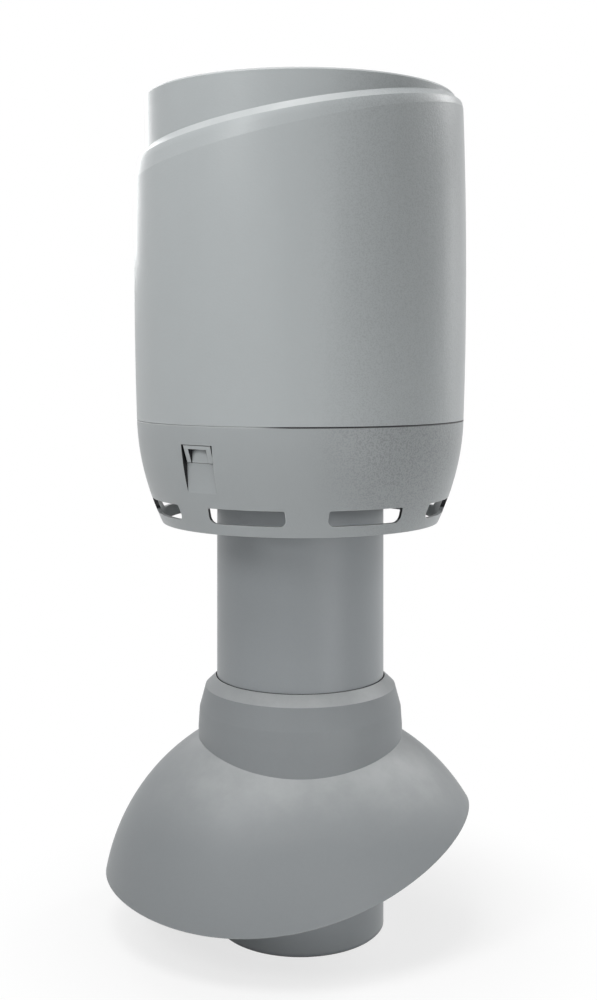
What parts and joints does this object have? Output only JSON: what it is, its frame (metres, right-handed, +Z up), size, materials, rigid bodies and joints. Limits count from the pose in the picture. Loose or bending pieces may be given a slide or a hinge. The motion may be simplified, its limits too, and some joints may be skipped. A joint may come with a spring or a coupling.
{
  "type": "roof vent pipe",
  "caption": "Upright plastic roof vent pipe with a slanted-step hood, a slotted drain ring, and a domed cover with a collar that seals it on a sloping roof.",
  "frame": {"origin": "on the pipe's axis, at its open lower end", "axes": "+Z up along the pipe; -Y is the front; the roof under the dome falls from +X to -X"},
  "size_m": [0.2389, 0.2182, 0.543],
  "materials": {
    "pipe_plastic": "smooth satin grey polypropylene",
    "dome_plastic": "smooth satin grey polypropylene",
    "seal_rubber": "black rubber",
    "base_plastic": "fine moulded grain, grey polypropylene",
    "hood_plastic": "fine moulded grain, grey polypropylene",
    "deflector_plastic": "smooth grey polypropylene",
    "screw_steel": "bare stainless steel"
  },
  "bodies": {
    "root": {"vent_pipe": "pipe_plastic", "roof_dome": "dome_plastic", "collar_seal": "seal_rubber", "hood_base": "base_plastic", "hood_shell": "hood_plastic", "rain_deflector": "deflector_plastic", "fixing_screws": "screw_steel"}
  },
  "joints": []
}
